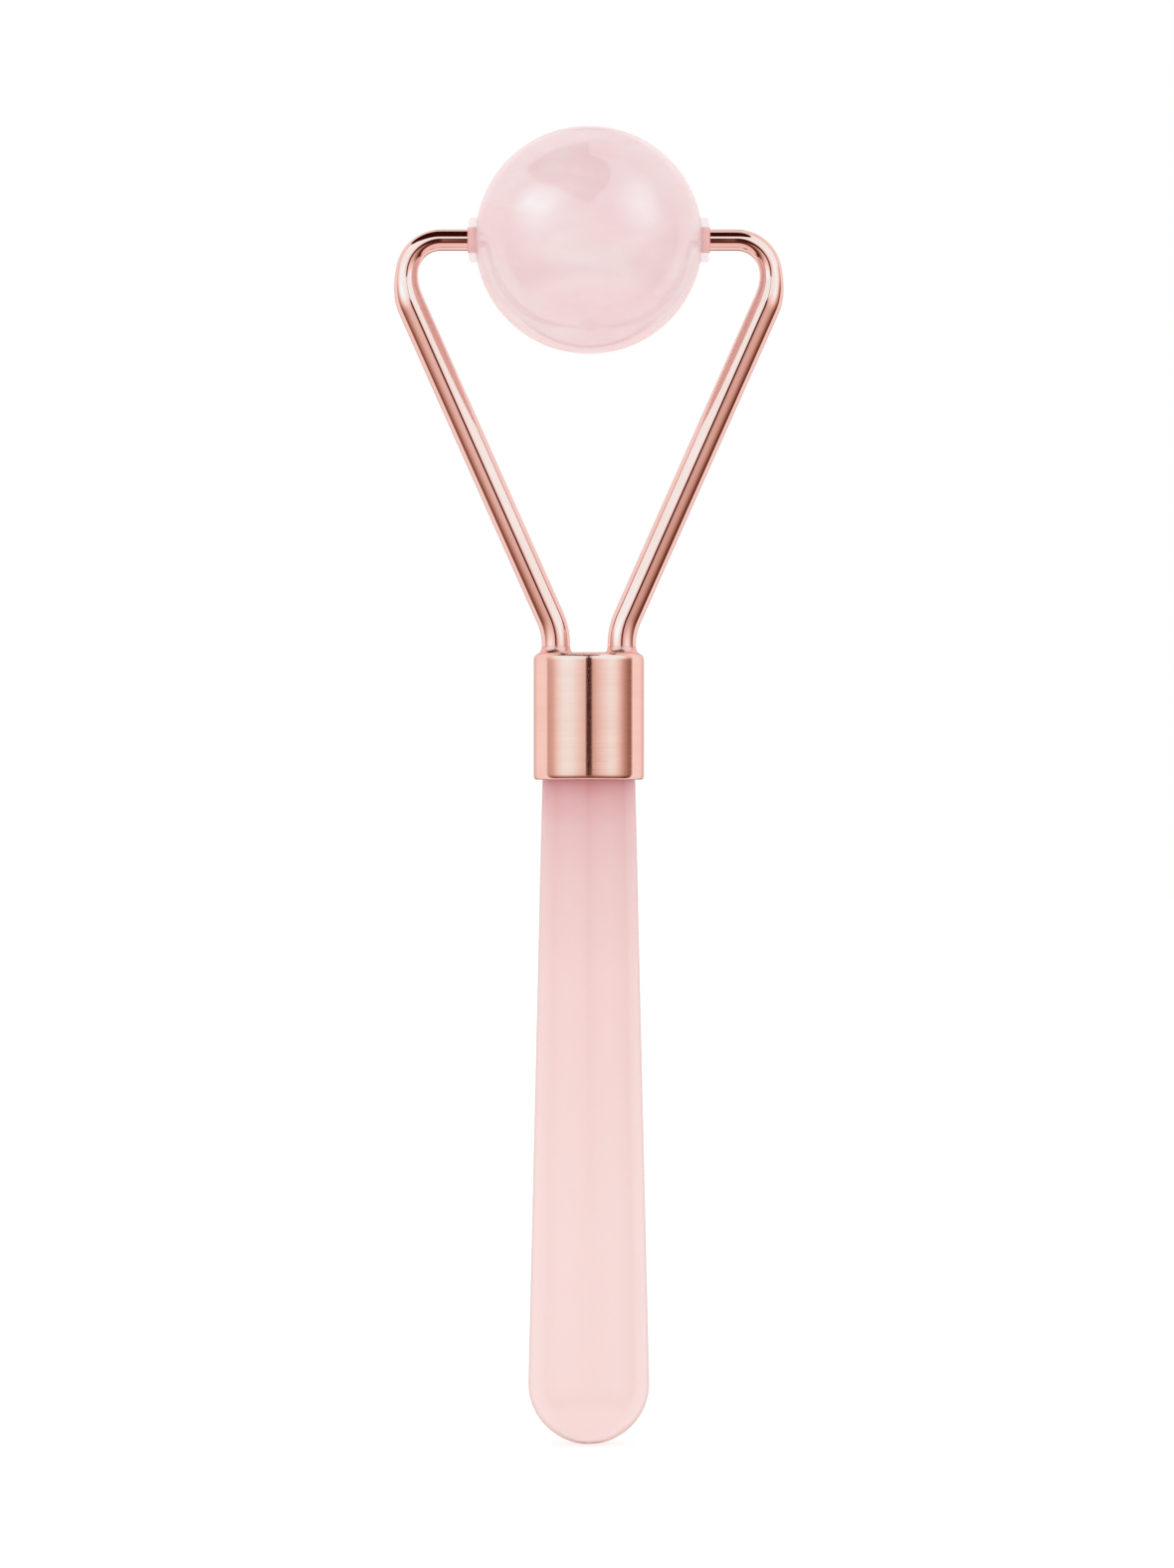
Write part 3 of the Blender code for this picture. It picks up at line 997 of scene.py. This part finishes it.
def soft_light(graph):
    """The even soft light that colours matt surfaces, a little stronger from the upper front."""
    ray = graph.add("ShaderNodeTexCoord").outputs["Generated"]
    return graph.math("MULTIPLY_ADD", graph.dot(ray, KEY_DIRECTION), KEY_LEVEL, SOFT_LEVEL)


def make_world():
    """The studio: white to the camera, panels to the gloss, even light to matt surfaces."""
    world = bpy.data.worlds.new("studio")
    world.use_nodes = True
    bpy.context.scene.world = world
    tree = world.node_tree
    tree.nodes.clear()
    graph = Graph(tree)
    rays = graph.add("ShaderNodeLightPath").outputs
    light = graph.mix(rays["Is Diffuse Ray"], reflected_studio(graph), soft_light(graph))
    seen = graph.math("MAXIMUM", rays["Is Camera Ray"], rays["Is Transmission Ray"])
    colour = graph.mix(seen, light, WHITE)
    shade = graph.add("ShaderNodeBackground", {"Color": colour, "Strength": 1.0})
    graph.add("ShaderNodeOutputWorld", {"Surface": shade.outputs[0]})
    world.cycles.sampling_method = "NONE"


def hide_from(item, *rays):
    """Hide a studio object from the named kinds of ray."""
    for kind in rays:
        setattr(item, f"visible_{kind}", False)


def make_card(name, centre, toward, width, height):
    """A flat studio card that only mirror reflections see, facing a point."""
    bpy.ops.mesh.primitive_plane_add(size=1.0)
    card = bpy.context.active_object
    card.name = name
    card.scale = (width, height, 1.0)
    card.location = centre
    facing = Vector(toward) - Vector(centre)
    card.rotation_euler = facing.to_track_quat("Z", "Y").to_euler()
    hide_from(card, "camera", "diffuse", "transmission", "volume_scatter", "shadow")
    return card


def empty_material(name):
    """A material without a shader yet: (material, graph, object place)."""
    material = bpy.data.materials.new(name)
    material.use_nodes = True
    material.node_tree.nodes.clear()
    graph = Graph(material.node_tree)
    return material, graph, graph.add("ShaderNodeTexCoord").outputs["Object"]


def added_light(name, colour, shape):
    """Light that a card adds to what is behind it, its strength shaped over the card."""
    material, graph, where = empty_material(name)
    light = graph.add("ShaderNodeEmission", {"Color": colour, "Strength": shape(graph, where)})
    clear = graph.add("ShaderNodeBsdfTransparent")
    both = graph.add("ShaderNodeAddShader", {0: light.outputs[0], 1: clear.outputs[0]})
    graph.add("ShaderNodeOutputMaterial", {"Surface": both.outputs[0]})
    return material


def lamp_shape(graph, where, ball):
    """A bell curve from the middle of a card, weaker where it only grazes a ball of this radius."""
    off = graph.add("ShaderNodeVectorMath", {0: where}, operation="LENGTH").outputs["Value"]
    level = graph.math("MULTIPLY", graph.bell(off, SPOT_SPREAD), SPOT_LEVEL)
    return graph.math("MULTIPLY", level, faced_share(graph, off, ball))


def faced_share(graph, off, ball):
    """How fully the ball's surface faces the lamp that it mirrors, from the light's way to it.

    The way to the surface, the way to the ball's middle and the radius are a triangle's sides.
    """
    way = graph.add("ShaderNodeLightPath").outputs["Ray Length"]
    sideways = graph.math("MULTIPLY", off, SPOT_SIZE)
    middle_squared = graph.math("ADD", graph.math("POWER", sideways, 2.0), SPOT_DISTANCE**2)
    difference = graph.math("SUBTRACT", middle_squared, graph.math("POWER", way, 2.0))
    twice = graph.math("MULTIPLY", graph.math("SQRT", middle_squared), 2.0 * ball)
    facing = graph.math("DIVIDE", difference, twice)
    return graph.between(facing, GRAZED, FACED)


def card_place(graph, where):
    """How far off a card's upright middle line and how high on it, as shares from -0.5 to 0.5."""
    parts = graph.parts(where)
    return graph.math("ABSOLUTE", parts["X"]), parts["Y"]


def gap_fill_shape(graph, where):
    """Light over the gap: weak low down, strong at the top."""
    off, up = card_place(graph, where)
    rise = graph.between(up, GAP_FILL_START, GAP_FILL_FULL)
    return graph.math("MULTIPLY", rise, graph.between(off, CARD_EDGE, CARD_SOLID))


def seam_fill_shape(graph, where):
    """Even light over the seam above the gap."""
    off, _ = card_place(graph, where)
    return graph.math("MULTIPLY", graph.between(off, CARD_EDGE, CARD_SOLID), SEAM_FILL_LEVEL)


def rear_fill_shape(graph, where):
    """Light over the darkened part of the backdrop, with its seam."""
    off, up = card_place(graph, where)
    low = graph.between(up, REAR_FILL_GROWS, REAR_FILL_GROWN)
    fade = graph.math("MULTIPLY_ADD", low, REAR_FILL_FADE, REAR_FILL_EVEN)
    fade = graph.math("MULTIPLY", fade, graph.between(off, CARD_EDGE, REAR_FILL_SOLID))
    seam = graph.math("MULTIPLY_ADD", low, -REAR_FILL_SEAM_FALL, REAR_FILL_SEAM)
    seam = graph.math("MULTIPLY", seam, graph.between(off, REAR_FILL_SEAM_EDGE, REAR_FILL_SEAM_SOLID))
    return graph.math("ADD", fade, seam)


def gap_material(name, middle, side, soft_end):
    """Unlit darkness, browner to the sides, clear at its edges and over its soft lower end."""
    material, graph, where = empty_material(name)
    off, up = card_place(graph, where)
    browner = graph.between(off, GAP_DARK_SHARE, GAP_BROWN_SHARE)
    colour = graph.mix(browner, (*middle, 1.0), (*side, 1.0))
    light = graph.add("ShaderNodeEmission", {"Color": colour, "Strength": 1.0})
    clear = graph.add("ShaderNodeBsdfTransparent")
    above_end = graph.between(up, -CARD_EDGE - soft_end / 2, -CARD_EDGE + soft_end)
    mask = graph.math("MULTIPLY", graph.between(off, CARD_EDGE, CARD_SOLID), above_end)
    both = graph.add("ShaderNodeMixShader", {0: mask, 1: clear.outputs[0], 2: light.outputs[0]})
    graph.add("ShaderNodeOutputMaterial", {"Surface": both.outputs[0]})
    return material


def make_upright_card(name, y, bottom, top, width, across=0.0):
    """A card that stands upright before or behind the roller, between two heights."""
    height = (top + bottom) / 2
    return make_card(name, (across, y, height), (across, 0.0, height), width, top - bottom)


def collect(name, items):
    """A collection of objects for light linking, kept out of the scene."""
    collection = bpy.data.collections.new(name)
    for item in items:
        collection.objects.link(item)
    return collection


def make_front_card(name, distance, bottom, top, width):
    """An upright card on the gap's line, its width given as it would be at the gap's distance."""
    nearer = distance / GAP_DISTANCE
    return make_upright_card(name, -distance, bottom, top, width * nearer, across=GAP_ACROSS)


def make_gap_cards():
    """The dark gap between the front panels and the brown seam above it."""
    gap = make_front_card("panel_gap", GAP_DISTANCE, GAP_BOTTOM, GAP_TOP, GAP_WIDTH)
    gap.data.materials.append(gap_material("gap_dark", GAP_MIDDLE, GAP_SIDE, GAP_SOFT_END))
    seam = make_front_card("panel_seam", GAP_DISTANCE, GAP_TOP, SEAM_TOP, SEAM_WIDTH)
    seam.data.materials.append(gap_material("seam_brown", SEAM_COLOUR, GAP_SIDE, SEAM_SOFT_END))


def make_fill_cards(ball_only, ball_and_bushes):
    """Light over the gap, its seam and the dimmed backdrop, for the ball and partly the bushes."""
    gap = make_front_card("gap_fill", FILL_DISTANCE, GAP_FILL_BOTTOM, GAP_FILL_TOP, GAP_WIDTH)
    seam = make_front_card("seam_fill", FILL_DISTANCE, GAP_FILL_TOP, SEAM_FILL_TOP, SEAM_WIDTH)
    rear = make_upright_card(
        "rear_fill", REAR_FILL_DISTANCE, REAR_FILL_BOTTOM, REAR_FILL_TOP, REAR_FILL_WIDTH
    )
    fills = (
        (gap, gap_fill_shape, ball_only),
        (seam, seam_fill_shape, ball_only),
        (rear, rear_fill_shape, ball_and_bushes),
    )
    for card, shape, receivers in fills:
        card.data.materials.append(added_light(card.name, WHITE, shape))
        card.light_linking.receiver_collection = receivers


def make_lamps(size, ball_only):
    """Two soft lamps that only the ball takes up."""
    middle = (0.0, 0.0, size["axle"])
    across, up = math.radians(SPOT_ACROSS), math.radians(SPOT_UP)
    glow = added_light("lamp_glow", SPOT_COLOUR, partial(lamp_shape, ball=size["ball"]))
    for side, sign in SIDES:
        centre = (
            sign * SPOT_DISTANCE * math.sin(across) * math.cos(up),
            -SPOT_DISTANCE * math.cos(across) * math.cos(up),
            size["axle"] + SPOT_DISTANCE * math.sin(up),
        )
        lamp = make_card(f"ball_lamp_{side}", centre, middle, SPOT_SIZE, SPOT_SIZE)
        lamp.data.materials.append(glow)
        lamp.light_linking.receiver_collection = ball_only


def make_cards(size, ball, bushes):
    """Every card of the studio. The lamps and fills leave the metal and the handle as they are."""
    ball_only = collect("ball_only", [ball])
    ball_and_bushes = collect("ball_and_bushes", [ball, *bushes])
    make_gap_cards()
    make_fill_cards(ball_only, ball_and_bushes)
    make_lamps(size, ball_only)


def make_floor():
    """A wide pale floor under the handle's tip, bright enough to meet the backdrop unseen."""
    bpy.ops.mesh.primitive_plane_add(size=FLOOR_SIZE, location=(0.0, 0.0, 0.0))
    floor = bpy.context.active_object
    floor.name = "floor"
    material = new_material(
        "floor_white",
        Base_Color=FLOOR_COLOUR,
        Roughness=1.0,
        Specular_IOR_Level=0.0,
        Emission_Color=WHITE,
        Emission_Strength=FLOOR_GLOW,
    )[0]
    floor.data.materials.append(material)
    hide_from(floor, "glossy", "transmission")


def make_camera():
    """The long lens in front of the roller, level with its middle."""
    data = bpy.data.cameras.new("camera")
    data.lens = LENS_MM
    data.sensor_width = SENSOR_MM
    data.dof.use_dof = False
    camera = bpy.data.objects.new("camera", data)
    bpy.context.scene.collection.objects.link(camera)
    camera.location = (CAMERA_SHIFT_X, -CAMERA_DISTANCE, CAMERA_HEIGHT)
    camera.rotation_euler = (math.radians(90), 0.0, 0.0)
    bpy.context.scene.camera = camera


# -------------------- the roller


def make_grip(size):
    """The handle, the ferrule and the stud between them, on the frame body."""
    plastic = make_handle_plastic("handle_pink", size)
    turned_gold = make_turned_gold("rose_gold_turned", size)
    finish_piece(make_handle(size), "frame", "handle", plastic)
    finish_piece(make_ferrule(size), "frame", "ferrule", turned_gold)
    finish_piece(make_stud(size), "frame", "handle_stud", make_steel("steel_plain"))


def make_sides(size):
    """Each side's arm and braze on the frame body and its bush on the roller body: bush shells."""
    plated = make_polished_gold("rose_gold_polished", POLISHED_ROUGHNESS, (GOLD, GOLD_WARM))
    brazed = make_polished_gold("rose_gold_brazed", BRAZE_ROUGHNESS, (BRAZE, BRAZE_WARM))
    clear = make_moulded_plastic("bush_clear", FLANGE_CLOUDS, FLANGE_ALPHA)
    milky = make_moulded_plastic("bush_milky", SLEEVE_CLOUDS)
    bushes = []
    for side, sign in SIDES:
        arm = make_arm(size, side, sign)
        finish_piece(arm, "frame", f"yoke_arm_{side}", plated)
        fillet = make_fillet(size, side, sign)
        finish_piece(fillet, "frame", f"braze_fillet_{side}", brazed)
        for shell, plastic in zip(make_bush(size, side, sign), (clear, milky)):
            finish_piece(shell, "roller", f"bush_{side}", plastic)
            bushes.append(shell)
    return bushes


def make_roller(size):
    """Every piece in its material and on its body: (ball, list of bush shells)."""
    make_grip(size)
    ball = make_ball(size)
    finish_piece(ball, "roller", "stone_ball", make_stone("rose_quartz"))
    return ball, make_sides(size)


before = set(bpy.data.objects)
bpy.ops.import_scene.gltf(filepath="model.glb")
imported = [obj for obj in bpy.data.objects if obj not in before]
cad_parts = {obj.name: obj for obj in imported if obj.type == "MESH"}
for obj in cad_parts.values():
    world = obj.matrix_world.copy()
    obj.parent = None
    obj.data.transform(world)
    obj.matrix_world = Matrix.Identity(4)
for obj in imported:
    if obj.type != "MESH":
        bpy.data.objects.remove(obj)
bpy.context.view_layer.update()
bpy.context.scene.view_settings.view_transform = "Standard"
make_camera()
make_world()
make_floor()
size = measure_frame()
make_cards(size, *make_roller(size))
